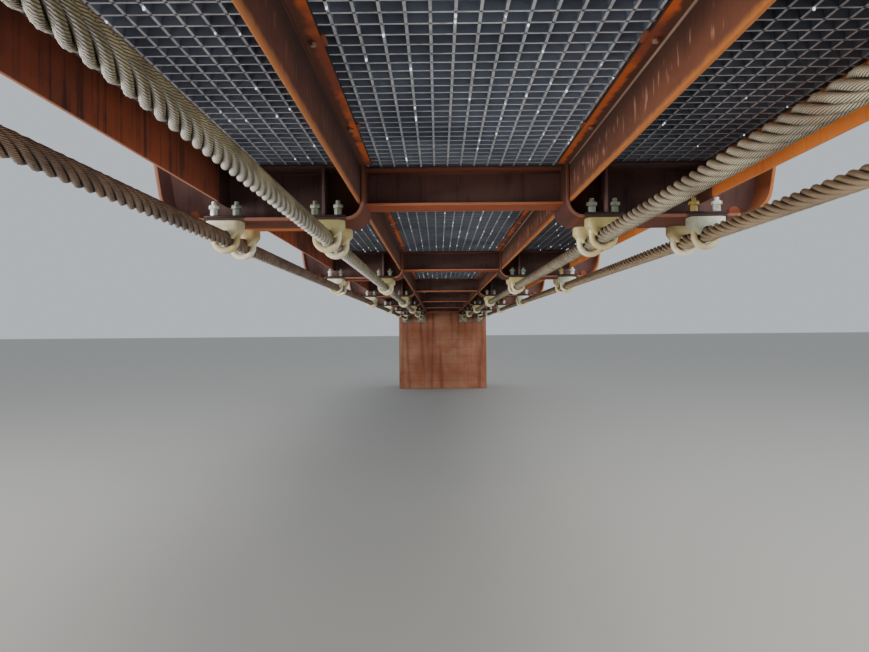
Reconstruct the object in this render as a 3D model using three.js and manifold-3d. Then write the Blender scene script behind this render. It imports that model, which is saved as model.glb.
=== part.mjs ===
// A suspension footbridge of weathering steel, six bays long. Four wire ropes run under the
// deck from abutment to abutment. Cross-frames are clamped on top of the ropes, stringers
// join frame to frame, and closed grating panels lie on both. Each frame turns up at its
// ends into the two posts of the balustrade.
// Millimetres, +Z up, +Y along the bridge, origin under the middle at ground level.

import * as THREE from 'three';
import { mergeVertices } from 'three/addons/utils/BufferGeometryUtils.js';
import Module from 'manifold-3d';

const wasm = await Module();
wasm.setup();

// Driving dimensions of the whole bridge
const BAY = 2000;
const BAYS = 6;
const HALF_SPAN = (BAY * BAYS) / 2;
const DECK_UNDERSIDE = 1500;
const GAP = 0.3;

// Deck and the lines of stringers under it
const DECK_HALF_WIDTH = 694;
const DECK_THICKNESS = 40;
const PANEL_JOINT = 4;
const END_JOINT = 10;
const STRINGER_PLATE = 8;
const LEDGE_WIDTH = 33;
const INNER_STRINGER_X = 287;
const INNER_STRINGER_DEPTH = 109;
const OUTER_STRINGER_X = 673;
const OUTER_STRINGER_DEPTH = 103;

// Cross-frame: a shallow beam in the middle, and a deeper pod at each side
const FRAME_PLATE = 8;
const BEAM_DEPTH = 110;
const BEAM_FLANGE_WIDTH = 100;
const POD_FLANGE_WIDTH = 194;
const POD_FLANGE_PLATE = 10;
const POD_DEPTH = 157;
const POD_INNER_X = 281;
const POD_INNER_RADIUS = 45;
const POD_OUTER_BEND_X = 757;
const POD_OUTER_RADIUS = 80;
const STIFFENER_X = 389;
const POD_TOP_PLATE = [295.3, 672.7];
const POD_TOP_WIDTH = 170;
const ARC_STEPS = 5;

// Posts: the pod's flange and web carried on upwards, leaning out and tapering
const POST_LEAN = THREE.MathUtils.degToRad(9);
const POST_HEIGHT = 1050;
const POST_FOOT_X = 705;
const POST_HEAD_X = 955;
const POST_HEAD_WIDTH = 90;

// Ropes and the saddle clamps that hold them, two at each crossing
const ROPE_X = [381, 661];
const ROPE_RADIUS = 21;
const ROPE_DROP = 205;
const ROPE_SIDES = 10;
const CLAMP_HALF_PITCH = 82;
const CLAMP_LENGTH = 56;
const SADDLE_TOP_WIDTH = 100;
const SADDLE_LIP = 25;
const CLAMP_RADIUS = 39;

// Rope ends: a cone socket, a threaded rod, a nut and a bearing plate on the abutment
const SOCKET_RADIUS = 38;
const ROD_RADIUS = 18;
const NUT_RADIUS = 32;
const BEARING_PLATE = 150;
const BEARING_PLATE_THICKNESS = 20;

// Balustrade, in the leaning plane of the posts' inner edges
const RAIL_RADIUS = 25;
const RAIL_OVERHANG = 110;
const STILE_WIDTH = 50;
const PANEL_BAR = 10;
const WIRE = 8;
const WIRE_COUNT = 6;
const FIRST_WIRE = 150;
const WIRE_PITCH = 140;
const KERB_HEIGHT = 60;

// Abutments: one mass of concrete each, with a nib that reaches out to the deck's end
const ABUTMENT_FACE = HALF_SPAN + 450;
const ABUTMENT_LENGTH = 800;
const ABUTMENT_HALF_WIDTH = 800;
const ABUTMENT_CHAMFER = 25;
const NIB_REACH = 335;
const NIB_DEPTH = 110;

// Finishes
const weatheringSteel = new THREE.MeshStandardMaterial({ color: 0x7a3f1e, roughness: 0.85, metalness: 0.2 });
const darkSteel = new THREE.MeshStandardMaterial({ color: 0x4a2417, roughness: 0.85, metalness: 0.2 });
const greyGrating = new THREE.MeshStandardMaterial({ color: 0x5c6570, roughness: 0.7, metalness: 0.0 });
const wireRope = new THREE.MeshStandardMaterial({ color: 0x8d7f68, roughness: 0.6, metalness: 0.5 });
const galvanisedSteel = new THREE.MeshStandardMaterial({ color: 0x9a9d98, roughness: 0.5, metalness: 0.6 });
const stainedConcrete = new THREE.MeshStandardMaterial({ color: 0x9a7f63, roughness: 0.95, metalness: 0.0 });

// A geometry as a solid that can be joined or cut
function solidOf(geometry) {
  const bare = geometry.clone();
  bare.deleteAttribute('normal');
  bare.deleteAttribute('uv');
  const merged = mergeVertices(bare, 1e-3);
  const corners = merged.index.array;
  const triVerts = [];
  for (let i = 0; i < corners.length; i += 3) {
    const [a, b, c] = [corners[i], corners[i + 1], corners[i + 2]];
    if (a !== b && b !== c && c !== a) triVerts.push(a, b, c);
  }
  const mesh = new wasm.Mesh({
    numProp: 3,
    vertProperties: new Float32Array(merged.attributes.position.array),
    triVerts: new Uint32Array(triVerts),
  });
  return new wasm.Manifold(mesh);
}

function geometryOf(solid) {
  const mesh = solid.getMesh();
  const geometry = new THREE.BufferGeometry();
  geometry.setAttribute('position', new THREE.BufferAttribute(new Float32Array(mesh.vertProperties), 3));
  geometry.setIndex(new THREE.BufferAttribute(new Uint32Array(mesh.triVerts), 1));
  geometry.computeVertexNormals();
  return geometry;
}

function joined(geometries) {
  return geometryOf(geometries.map(solidOf).reduce((whole, piece) => whole.add(piece)));
}

function box(x0, x1, y0, y1, z0, z1) {
  const geometry = new THREE.BoxGeometry(x1 - x0, y1 - y0, z1 - z0);
  return geometry.translate((x0 + x1) / 2, (y0 + y1) / 2, (z0 + z1) / 2);
}

// A section drawn in X and Z, carried along Y from y0 to y1
function section(points, y0, y1, hole = null) {
  const shape = new THREE.Shape(points.map(([x, z]) => new THREE.Vector2(x, z)));
  if (hole) shape.holes.push(new THREE.Path(hole.map(([x, z]) => new THREE.Vector2(x, z))));
  const geometry = new THREE.ExtrudeGeometry(shape, { depth: y1 - y0, bevelEnabled: false });
  return geometry.rotateX(Math.PI / 2).translate(0, y1, 0);
}

function arc(cx, cz, radius, from, to, steps) {
  return Array.from({ length: steps + 1 }, (_, i) => {
    const angle = THREE.MathUtils.degToRad(from + ((to - from) * i) / steps);
    return [cx + radius * Math.cos(angle), cz + radius * Math.sin(angle)];
  });
}

// The outline of a plate of even thickness bent along a path
function bentPlate(path, thickness) {
  const offsets = path.map(([x, z], i) => {
    const [px, pz] = path[Math.max(i - 1, 0)];
    const [nx, nz] = path[Math.min(i + 1, path.length - 1)];
    const before = new THREE.Vector2(x - px, z - pz).normalize();
    const after = new THREE.Vector2(nx - x, nz - z).normalize();
    const along = before.clone().add(after).normalize();
    const reach = thickness / 2 / Math.max(along.dot(before), along.dot(after));
    return [-along.y * reach, along.x * reach];
  });
  const near = path.map(([x, z], i) => [x + offsets[i][0], z + offsets[i][1]]);
  const far = path.map(([x, z], i) => [x - offsets[i][0], z - offsets[i][1]]);
  return [...near, ...far.reverse()];
}

const mirrored = (points, side) => points.map(([x, z]) => [side * x, z]);

// The pod's flange: down beside the inner stringer, flat over the ropes, up outside the deck
const podMiddle = -POD_DEPTH + POD_FLANGE_PLATE / 2;
const leanDegrees = THREE.MathUtils.radToDeg(POST_LEAN);
const postLineX = (z) => {
  const bendEndX = POD_OUTER_BEND_X + POD_OUTER_RADIUS * Math.cos(POST_LEAN);
  const bendEndZ = podMiddle + POD_OUTER_RADIUS * (1 - Math.sin(POST_LEAN));
  return bendEndX + (z - bendEndZ) * Math.tan(POST_LEAN);
};
const postWebX = (z) => {
  const share = (z - DECK_THICKNESS) / (POST_HEIGHT - DECK_THICKNESS);
  return POST_FOOT_X + share * (POST_HEAD_X - POST_FOOT_X);
};
const podPath = [
  [POD_INNER_X, 0],
  ...arc(POD_INNER_X + POD_INNER_RADIUS, podMiddle + POD_INNER_RADIUS, POD_INNER_RADIUS, 180, 270, ARC_STEPS),
  ...arc(POD_OUTER_BEND_X, podMiddle + POD_OUTER_RADIUS, POD_OUTER_RADIUS, 270, 360 - leanDegrees, ARC_STEPS),
  [postLineX(DECK_THICKNESS), DECK_THICKNESS],
];

// The post's flange above the deck narrows from the pod's width to the post's head
function postFlange(side) {
  const geometry = new THREE.BoxGeometry(1, 1, 1);
  const corners = geometry.attributes.position;
  for (let i = 0; i < corners.count; i += 1) {
    const upper = corners.getZ(i) > 0;
    const z = upper ? POST_HEIGHT : DECK_THICKNESS - 1;
    const width = upper ? POST_HEAD_WIDTH : POD_FLANGE_WIDTH;
    const x = postLineX(z) + corners.getX(i) * side * POD_FLANGE_PLATE;
    corners.setXYZ(i, side * x, corners.getY(i) * width, z);
  }
  return geometry;
}

function podWeb(side) {
  const points = [
    ...podPath.slice(0, -1),
    [postLineX(POST_HEIGHT), POST_HEIGHT],
    [postWebX(POST_HEIGHT), POST_HEIGHT],
    [postWebX(DECK_THICKNESS), DECK_THICKNESS],
    [postWebX(DECK_THICKNESS), 0],
  ];
  return section(mirrored(points, side), -FRAME_PLATE / 2, FRAME_PLATE / 2);
}

// One cast saddle with its U-bar, as a block with a hole for the rope
function clamp(x, y) {
  const top = -POD_DEPTH + 1;
  const half = SADDLE_TOP_WIDTH / 2;
  const outline = [
    [-half, top],
    [-half, -POD_DEPTH - SADDLE_LIP],
    ...arc(0, -ROPE_DROP, CLAMP_RADIUS, 180, 360, 6),
    [half, -POD_DEPTH - SADDLE_LIP],
    [half, top],
  ];
  const degreesPerSide = 360 / ROPE_SIDES;
  const hole = arc(0, -ROPE_DROP, ROPE_RADIUS + GAP, 90, 450 - degreesPerSide, ROPE_SIDES - 1);
  return section(outline, y - CLAMP_LENGTH / 2, y + CLAMP_LENGTH / 2, hole).translate(x, 0, 0);
}

// The beam between the pods stops a hair inside their inner flanges, so that they fuse
function centreBeam() {
  const reach = POD_INNER_X;
  const halfPlate = FRAME_PLATE / 2;
  const halfFlange = BEAM_FLANGE_WIDTH / 2;
  return [
    box(-reach, reach, -halfFlange, halfFlange, -FRAME_PLATE, 0),
    box(-reach, reach, -halfPlate, halfPlate, -BEAM_DEPTH, 0),
    box(-reach, reach, -halfFlange, halfFlange, -BEAM_DEPTH, -BEAM_DEPTH + FRAME_PLATE),
  ];
}

// A pod is closed at the top by a plate that fits between the two lines of stringers
function pod(side) {
  const halfFlange = POD_FLANGE_WIDTH / 2;
  const halfTop = POD_TOP_WIDTH / 2;
  const halfPlate = FRAME_PLATE / 2;
  const stiffenerX = side * STIFFENER_X;
  const [topLeft, topRight] = POD_TOP_PLATE.map((x) => side * x).sort((a, b) => a - b);
  const clamps = ROPE_X.flatMap((x) => [
    clamp(side * x, -CLAMP_HALF_PITCH),
    clamp(side * x, CLAMP_HALF_PITCH),
  ]);
  return [
    section(mirrored(bentPlate(podPath, POD_FLANGE_PLATE), side), -halfFlange, halfFlange),
    podWeb(side),
    postFlange(side),
    box(topLeft, topRight, -halfTop, halfTop, -FRAME_PLATE, 0),
    box(stiffenerX - halfPlate, stiffenerX + halfPlate, -halfFlange, halfFlange, podMiddle, 0),
    ...clamps,
  ];
}

const crossFrame = joined([...centreBeam(), ...pod(-1), ...pod(1)]);

// A stringer is a deep plate with a ledge along its top that the grating lies on: the inner
// plates' ledges point inwards and stop at the pods, the outer ones' point outwards
function stringer(side, x, depth, inward) {
  const end = BAY / 2 - FRAME_PLATE / 2 - GAP;
  const ledgeEnd = inward ? BAY / 2 - POD_FLANGE_WIDTH / 2 - GAP : end;
  const web = box(x, x + STRINGER_PLATE, -end, end, -depth, 0);
  const from = inward ? x - LEDGE_WIDTH : x + STRINGER_PLATE / 2;
  const to = inward ? x + STRINGER_PLATE / 2 : x + LEDGE_WIDTH;
  const ledge = box(from, to, -ledgeEnd, ledgeEnd, -STRINGER_PLATE, 0);
  const whole = solidOf(web).add(solidOf(ledge));
  return geometryOf(side > 0 ? whole : whole.mirror([1, 0, 0]));
}

// A deck panel covers one bay, and the two end panels reach on to the abutments' nibs
function deckPanel(bay) {
  const nibEdge = ABUTMENT_FACE - NIB_REACH - END_JOINT;
  const start = bay === 0 ? -nibEdge : -HALF_SPAN + bay * BAY + PANEL_JOINT / 2;
  const end = bay === BAYS - 1 ? nibEdge : -HALF_SPAN + (bay + 1) * BAY - PANEL_JOINT / 2;
  return box(-DECK_HALF_WIDTH, DECK_HALF_WIDTH, start, end, GAP, DECK_THICKNESS);
}

// A rope with the fittings at its two ends, turned about Y, and its two bearing plates
function rope() {
  const face = ABUTMENT_FACE - GAP;
  const plateFace = face - BEARING_PLATE_THICKNESS;
  const half = [
    [ROPE_RADIUS, plateFace - 250],
    [ROPE_RADIUS + 4, plateFace - 245],
    [SOCKET_RADIUS, plateFace - 120],
    [SOCKET_RADIUS, plateFace - 90],
    [ROD_RADIUS, plateFace - 90],
    [ROD_RADIUS, plateFace - 30],
    [NUT_RADIUS, plateFace - 30],
    [NUT_RADIUS, face - 5],
    [0, face - 5],
  ];
  const other = half.map(([radius, y]) => [radius, -y]).reverse();
  const profile = [...other, ...half].map(([radius, y]) => new THREE.Vector2(radius, y));
  const halfPlate = BEARING_PLATE / 2;
  return joined([
    new THREE.LatheGeometry(profile, ROPE_SIDES),
    box(-halfPlate, halfPlate, plateFace, face, -halfPlate, halfPlate),
    box(-halfPlate, halfPlate, -face, -plateFace, -halfPlate, halfPlate),
  ]);
}

// The balustrade is built upright, then leaned onto the inner edges of the posts
function balustrade(side) {
  const length = HALF_SPAN + RAIL_OVERHANG;
  const lean = Math.atan2(POST_HEAD_X - POST_FOOT_X, POST_HEIGHT - DECK_THICKNESS);
  const height = (POST_HEIGHT - DECK_THICKNESS) / Math.cos(lean) + RAIL_RADIUS / 2;
  const wireFace = -(PANEL_BAR - WIRE) / 2;
  const pieces = [box(-PANEL_BAR, 0, -length, length, 0, KERB_HEIGHT)];
  for (let i = 0; i < WIRE_COUNT; i += 1) {
    const z = FIRST_WIRE + i * WIRE_PITCH;
    pieces.push(box(wireFace - WIRE, wireFace, -length, length, z - WIRE / 2, z + WIRE / 2));
  }
  for (let i = 0; i <= BAYS; i += 1) {
    const y = -HALF_SPAN + i * BAY;
    pieces.push(box(-PANEL_BAR, 0, y - STILE_WIDTH / 2, y + STILE_WIDTH / 2, 0, height));
  }
  const infill = joined(pieces).rotateY(lean).translate(POST_FOOT_X - GAP, 0, DECK_THICKNESS);
  const rail = new THREE.CylinderGeometry(RAIL_RADIUS, RAIL_RADIUS, 2 * length, 8);
  rail.rotateY(Math.PI / 8).translate(POST_HEAD_X + PANEL_BAR / 2, 0, POST_HEIGHT + GAP + RAIL_RADIUS);
  const whole = solidOf(infill).add(solidOf(rail));
  return geometryOf(side > 0 ? whole : whole.mirror([1, 0, 0]));
}

// One abutment, drawn in Y and Z for the far end and carried across X
function abutment() {
  const top = DECK_UNDERSIDE + DECK_THICKNESS;
  const back = ABUTMENT_FACE + ABUTMENT_LENGTH;
  const chamfer = ABUTMENT_CHAMFER;
  const block = box(-ABUTMENT_HALF_WIDTH, ABUTMENT_HALF_WIDTH, ABUTMENT_FACE, back, 0, top - chamfer);
  const cap = new THREE.BoxGeometry(1, 1, 1);
  const corners = cap.attributes.position;
  for (let i = 0; i < corners.count; i += 1) {
    const inset = corners.getZ(i) > 0 ? chamfer : 0;
    const x = Math.sign(corners.getX(i)) * (ABUTMENT_HALF_WIDTH - inset);
    const y = corners.getY(i) > 0 ? back - inset : ABUTMENT_FACE + inset;
    corners.setXYZ(i, x, y, corners.getZ(i) > 0 ? top : top - chamfer);
  }
  const nib = box(-DECK_HALF_WIDTH, DECK_HALF_WIDTH, ABUTMENT_FACE - NIB_REACH, ABUTMENT_FACE + 2 * chamfer,
    top - DECK_THICKNESS - NIB_DEPTH, top);
  return joined([block, cap, nib]);
}

const bridge = new THREE.Group();

function place(name, geometry, material, y = 0, z = 0, x = 0) {
  const mesh = new THREE.Mesh(geometry, material);
  mesh.name = name;
  mesh.position.set(x, y, z);
  bridge.add(mesh);
  return mesh;
}

const sides = [['left', -1], ['right', 1]];
const stringerLines = [
  ['inner', INNER_STRINGER_X, INNER_STRINGER_DEPTH, true],
  ['outer', OUTER_STRINGER_X, OUTER_STRINGER_DEPTH, false],
];

for (let i = 0; i <= BAYS; i += 1) {
  place(`cross_frame_${i}`, crossFrame, weatheringSteel, -HALF_SPAN + i * BAY, DECK_UNDERSIDE);
}
for (let i = 0; i < BAYS; i += 1) {
  const middle = -HALF_SPAN + (i + 0.5) * BAY;
  place(`deck_panel_${i + 1}`, deckPanel(i), greyGrating, 0, DECK_UNDERSIDE);
  for (const [sideName, side] of sides) {
    for (const [lineName, x, depth, inward] of stringerLines) {
      const name = `${lineName}_stringer_${sideName}_${i + 1}`;
      place(name, stringer(side, x, depth, inward), darkSteel, middle, DECK_UNDERSIDE);
    }
  }
}
for (const [sideName, side] of sides) {
  place(`inner_rope_${sideName}`, rope(), wireRope, 0, DECK_UNDERSIDE - ROPE_DROP, side * ROPE_X[0]);
  place(`outer_rope_${sideName}`, rope(), wireRope, 0, DECK_UNDERSIDE - ROPE_DROP, side * ROPE_X[1]);
  place(`balustrade_${sideName}`, balustrade(side), galvanisedSteel, 0, DECK_UNDERSIDE);
}
place('far_abutment', abutment(), stainedConcrete);
place('near_abutment', abutment(), stainedConcrete).rotation.z = Math.PI;

export default bridge;
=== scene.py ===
import math
import random

import bpy
from mathutils import Matrix, Vector


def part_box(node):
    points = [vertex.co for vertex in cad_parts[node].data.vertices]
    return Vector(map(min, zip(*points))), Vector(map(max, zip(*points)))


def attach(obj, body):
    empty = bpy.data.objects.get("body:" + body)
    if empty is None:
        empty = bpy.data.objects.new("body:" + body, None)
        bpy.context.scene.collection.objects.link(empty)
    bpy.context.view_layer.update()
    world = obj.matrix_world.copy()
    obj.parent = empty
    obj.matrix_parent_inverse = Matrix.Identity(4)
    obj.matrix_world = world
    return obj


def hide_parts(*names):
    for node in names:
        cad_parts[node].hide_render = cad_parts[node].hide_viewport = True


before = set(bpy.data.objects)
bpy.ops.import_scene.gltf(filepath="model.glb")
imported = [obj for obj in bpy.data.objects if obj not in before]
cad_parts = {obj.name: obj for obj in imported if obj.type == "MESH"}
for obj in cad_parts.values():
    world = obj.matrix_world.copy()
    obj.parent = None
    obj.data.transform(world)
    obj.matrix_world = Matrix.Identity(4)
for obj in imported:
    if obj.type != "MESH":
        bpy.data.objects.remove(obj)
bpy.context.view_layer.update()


# Viewpoint
# The bridge is seen from below, from just inside the first bay and a little left of the middle,
# looking along the deck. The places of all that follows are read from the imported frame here.
first_low, first_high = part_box("cross_frame_0")
start_y = (first_low.y + first_high.y) / 2
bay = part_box("cross_frame_1")[0].y - first_low.y
bay_count = round((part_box("cross_frame_6")[0].y - first_low.y) / bay)
hair = 0.0003
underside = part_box("deck_panel_1")[0].z - hair
frame_places = [Vector((0, start_y + bay * i, underside)) for i in range(bay_count + 1)]

photo_width = 869
focal_pixels = 675
eye = Vector((-0.0754, start_y + 0.060, underside - 0.466))
tilt_up, roll, turn_left = 0.53, 0.47, 0.34
bpy.ops.object.camera_add(
    location=eye,
    rotation=(math.radians(90 + tilt_up), math.radians(roll), math.radians(turn_left)),
)
camera = bpy.context.object
camera.data.sensor_width = 36
camera.data.lens = camera.data.sensor_width * focal_pixels / photo_width
camera.data.clip_start = 0.01
bpy.context.scene.camera = camera


# Cross-frames
# Each is one welded fabrication of rusted weathering steel plate: a shallow beam in the middle, and
# at each side a deep pod whose broad bottom flange is bent up at both ends. Beyond the deck's edge
# the flange and web carry on upwards as a post. One frame is modelled, and the others are copies.
# Where two plates are welded, one is sunk a little into the other.
plate, sunk = 0.008, 0.001
beam_reach, beam_depth, beam_width = 0.281, 0.110, 0.100
pod_depth, pod_plate, pod_width = 0.157, 0.010, 0.194
pod_middle = -pod_depth + pod_plate / 2
inner_bend, outer_bend_x, outer_bend = 0.045, 0.757, 0.080
post_lean = math.radians(9)
post_foot_x, post_head_x, post_head_width = 0.705, 0.955, 0.090
post_height = 1.050
deck_thickness = 0.040
stiffener_x, stiffener_inset = 0.389, 0.008
pod_top_low_x, pod_top_high_x, pod_top_width = 0.2953, 0.6727, 0.170
pod_foot = -pod_depth + pod_plate
inner_bend_x, inner_bend_z = beam_reach + inner_bend, pod_middle + inner_bend
outer_bend_z = pod_middle + outer_bend
bend_end_x = outer_bend_x + outer_bend * math.cos(post_lean)
bend_end_z = outer_bend_z - outer_bend * math.sin(post_lean)
bolt_x, bolt_rise, bolt_radius, bolt_length = 0.771, 0.0155, 0.017, 0.034
flange_bead, pod_top_bead, stiffener_bead = 0.005, 0.004, 0.0035
rope_places = (0.381, 0.661)
between_ropes = sum(rope_places) / 2
clamp_off_middle = max(rope_places) - between_ropes


def clear_selection():
    bpy.ops.object.select_all(action="DESELECT")


def pick(piece):
    """Makes one object the only one that operators act on."""
    clear_selection()
    piece.select_set(True)
    bpy.context.view_layer.objects.active = piece


def apply_modifier(piece, kind, **settings):
    pick(piece)
    modifier = piece.modifiers.new(kind.title(), kind)
    for name, value in settings.items():
        setattr(modifier, name, value)
    bpy.ops.object.modifier_apply(modifier=modifier.name)


def round_edges(piece, width, segments=2):
    """Breaks the sharp edges of a plate or casting, and shades it smooth across them."""
    sharp = math.radians(35)
    apply_modifier(
        piece, "BEVEL", width=width, segments=segments, limit_method="ANGLE", angle_limit=sharp,
    )
    bpy.ops.object.shade_smooth_by_angle(angle=sharp)


def placed(name):
    """The primitive just added, with its place applied and a name."""
    bpy.ops.object.transform_apply(location=True, rotation=True, scale=True)
    bpy.context.object.name = name
    return bpy.context.object


def select_whole():
    bpy.ops.mesh.select_all(action="SELECT")


def edit_whole():
    bpy.ops.object.mode_set(mode="EDIT")
    select_whole()


def close_mesh():
    """Merges doubled points, turns every face outwards and leaves edit mode."""
    select_whole()
    bpy.ops.mesh.remove_doubles(threshold=1e-5)
    bpy.ops.mesh.normals_make_consistent(inside=False)
    bpy.ops.object.mode_set(mode="OBJECT")


def block(name, low, high, edge=0.0015, segments=2):
    """A plate or bar between two corners, with broken edges."""
    low, high = Vector(low), Vector(high)
    clear_selection()
    bpy.ops.mesh.primitive_cube_add(size=1, location=(low + high) / 2, scale=high - low)
    piece = placed(name)
    if edge:
        round_edges(piece, edge, segments)
    return piece


def cylinder(name, sides, radius, length, at=(0, 0, 0), rotation=(0, 0, 0)):
    """A closed cylinder about a point, upright unless it is turned."""
    clear_selection()
    bpy.ops.mesh.primitive_cylinder_add(
        vertices=sides, radius=radius, depth=length, location=at, rotation=rotation,
    )
    return placed(name)


def scale_part(piece, wanted, scale, centre):
    """Scales the vertices whose place passes a test, about a point."""
    for vertex in piece.data.vertices:
        vertex.select = wanted(vertex.co)
    bpy.ops.object.mode_set(mode="EDIT")
    bpy.ops.transform.resize(value=scale, center_override=centre)
    bpy.ops.object.mode_set(mode="OBJECT")


def move(piece, x, y, z):
    """Moves a piece inside its own mesh."""
    piece.data.transform(Matrix.Translation((x, y, z)))


def extrude(shift):
    bpy.ops.mesh.extrude_region_move(TRANSFORM_OT_translate={"value": Vector(shift)})


def begin_line(name, point):
    """One vertex in edit mode, ready to be extruded into an outline."""
    clear_selection()
    bpy.ops.mesh.primitive_plane_add(size=0.01, location=point)
    piece = placed(name)
    edit_whole()
    bpy.ops.mesh.select_mode(type="VERT")
    bpy.ops.mesh.merge(type="CENTER")
    return piece


def sweep(centre, degrees, steps):
    """Turns what is selected about a line along Y, anticlockwise as seen from the near end."""
    bpy.ops.mesh.spin(
        steps=steps, angle=math.radians(degrees), center=centre, axis=(0, 1, 0), dupli=False,
    )


def flat_plate(name, outline, thickness, edge=0.0015):
    """A plate cut to an outline of X and Z, lying about Y = 0."""
    start = -thickness / 2
    points = [Vector((x, start, z)) for x, z in outline]
    piece = begin_line(name, points[0])
    for here, there in zip(points, points[1:] + points[:1]):
        extrude(there - here)
    select_whole()
    bpy.ops.mesh.remove_doubles(threshold=1e-5)
    bpy.ops.mesh.edge_face_add()
    extrude((0, thickness, 0))
    close_mesh()
    if edge:
        round_edges(piece, edge)
    return piece


def copied(piece, name, matrix):
    """A copy with its own mesh, moved or mirrored inside that mesh."""
    twin = bpy.data.objects.new(name, piece.data.copy())
    bpy.context.scene.collection.objects.link(twin)
    twin.data.transform(matrix)
    if matrix.determinant() < 0:
        twin.data.flip_normals()
    return twin


def joined(name, pieces):
    """Joins pieces into the first of them."""
    pick(pieces[0])
    for piece in pieces:
        piece.select_set(True)
    bpy.ops.object.join()
    pieces[0].name = name
    return pieces[0]


def discard(*pieces):
    """Removes models once they are copied."""
    for piece in pieces:
        bpy.data.objects.remove(piece)


def painted(piece, material):
    piece.data.materials.clear()
    piece.data.materials.append(material)
    return piece


def settled(piece, slot, *nodes):
    """Fixes a finished piece to the bridge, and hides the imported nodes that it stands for."""
    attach(piece, "root")
    if nodes:
        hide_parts(*nodes)


def arc(centre_x, centre_z, radius, start, end, steps):
    """Points on an arc in X and Z, from one angle in degrees to the other."""
    angles = [math.radians(start + (end - start) * i / steps) for i in range(steps + 1)]
    return [(centre_x + radius * math.cos(a), centre_z + radius * math.sin(a)) for a in angles]


def linear(levels):
    """A colour given as its three levels on a screen, from 0 to 255, made linear and opaque."""
    shares = [level / 255 for level in levels]
    return [s / 12.92 if s <= 0.04045 else ((s + 0.055) / 1.055) ** 2.4 for s in shares] + [1.0]


class Value:
    """An output inside one material, which adds and multiplies as a number does."""

    def __init__(self, finish, socket):
        self.finish = finish
        self.socket = socket

    def maths(self, operation, *values):
        sockets = dict(enumerate(values))
        return self.finish.node("ShaderNodeMath", {"operation": operation}, sockets)

    def __add__(self, other):
        return self.maths("ADD", self, other)

    def __radd__(self, other):
        return self.maths("ADD", other, self)

    def __sub__(self, other):
        return self.maths("SUBTRACT", self, other)

    def __rsub__(self, other):
        return self.maths("SUBTRACT", other, self)

    def __mul__(self, other):
        return self.maths("MULTIPLY", self, other)

    def __rmul__(self, other):
        return self.maths("MULTIPLY", other, self)

    def __abs__(self):
        return self.maths("ABSOLUTE", self)

    def sine(self):
        return self.maths("SINE", self)

    def ramp(self, low, high, out_low=0.0, out_high=1.0):
        """This value stretched so that low to high becomes out_low to out_high, and no further."""
        sockets = {"Value": self, "From Min": low, "From Max": high, "To Min": out_low, "To Max": out_high}
        return self.finish.node("ShaderNodeMapRange", {"interpolation_type": "SMOOTHSTEP"}, sockets)


class Finish:
    """One material under construction."""

    def __init__(self, name):
        self.material = bpy.data.materials.new(name)
        self.material.use_nodes = True
        self.tree = self.material.node_tree
        self.surface = self.tree.nodes["Principled BSDF"]

    def node(self, kind, settings=None, sockets=None, output=0):
        """Adds any shader node, makes its settings, fills or links its sockets, and returns an output."""
        made = self.tree.nodes.new(kind)
        for name, value in (settings or {}).items():
            setattr(made, name, value)
        for name, value in (sockets or {}).items():
            self.feed(made.inputs[name], value)
        return Value(self, made.outputs[output])

    def feed(self, socket, value):
        """Links or fills a socket. A colour is given as three levels on a screen."""
        if isinstance(value, Value):
            self.tree.links.new(value.socket, socket)
        else:
            socket.default_value = linear(value) if socket.type == "RGBA" else value

    def place(self, stretch=(1, 1, 1), source="Object"):
        """The place on the piece in metres, or on its own UV map, scaled along each axis."""
        where = self.node("ShaderNodeTexCoord", output=source)
        return self.node("ShaderNodeMapping", {}, {"Vector": where, "Scale": stretch})

    def facing(self, axis):
        """How far the surface faces along X, Y or Z, from -1 to 1."""
        normal = self.node("ShaderNodeNewGeometry", output=1)
        return self.node("ShaderNodeSeparateXYZ", {}, {0: normal}, output="XYZ".index(axis))

    def at(self, axis, source="Object"):
        """The place along X, Y or Z in metres, or along an axis of the piece's own UV map."""
        where = self.place(source=source)
        return self.node("ShaderNodeSeparateXYZ", {}, {0: where}, output="XYZ".index(axis))

    def past_frame(self):
        """Metres along the bridge from the nearest frame's web, negative on its near side."""
        bays = self.at("Y") - (start_y - bay * 10.5)
        return bays.maths("MODULO", bays, bay) - bay / 2

    def noise(self, scale, detail, stretch=(1, 1, 1)):
        sockets = {"Vector": self.place(stretch), "Scale": scale, "Detail": detail}
        return self.node("ShaderNodeTexNoise", {}, sockets)

    def mix(self, share, first, second):
        return self.node("ShaderNodeMix", {"data_type": "RGBA"}, {0: share, 6: first, 7: second}, output=2)

    def layered(self, colour, *layers):
        """A colour with layers over it, each a share and a tint, the last one on top."""
        for share, tint in layers:
            colour = self.mix(share, colour, tint)
        return colour

    def bump(self, height, distance, strength, under=None):
        sockets = {"Height": height, "Distance": distance, "Strength": strength}
        if under is not None:
            sockets["Normal"] = under
        return self.node("ShaderNodeBump", {}, sockets)

    def done(self, colour, roughness, metallic=0.0, normal=None):
        sockets = {"Base Color": colour, "Roughness": roughness, "Metallic": metallic, "Normal": normal}
        for name, value in sockets.items():
            if value is not None:
                self.feed(self.surface.inputs[name], value)
        return self.material


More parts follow.
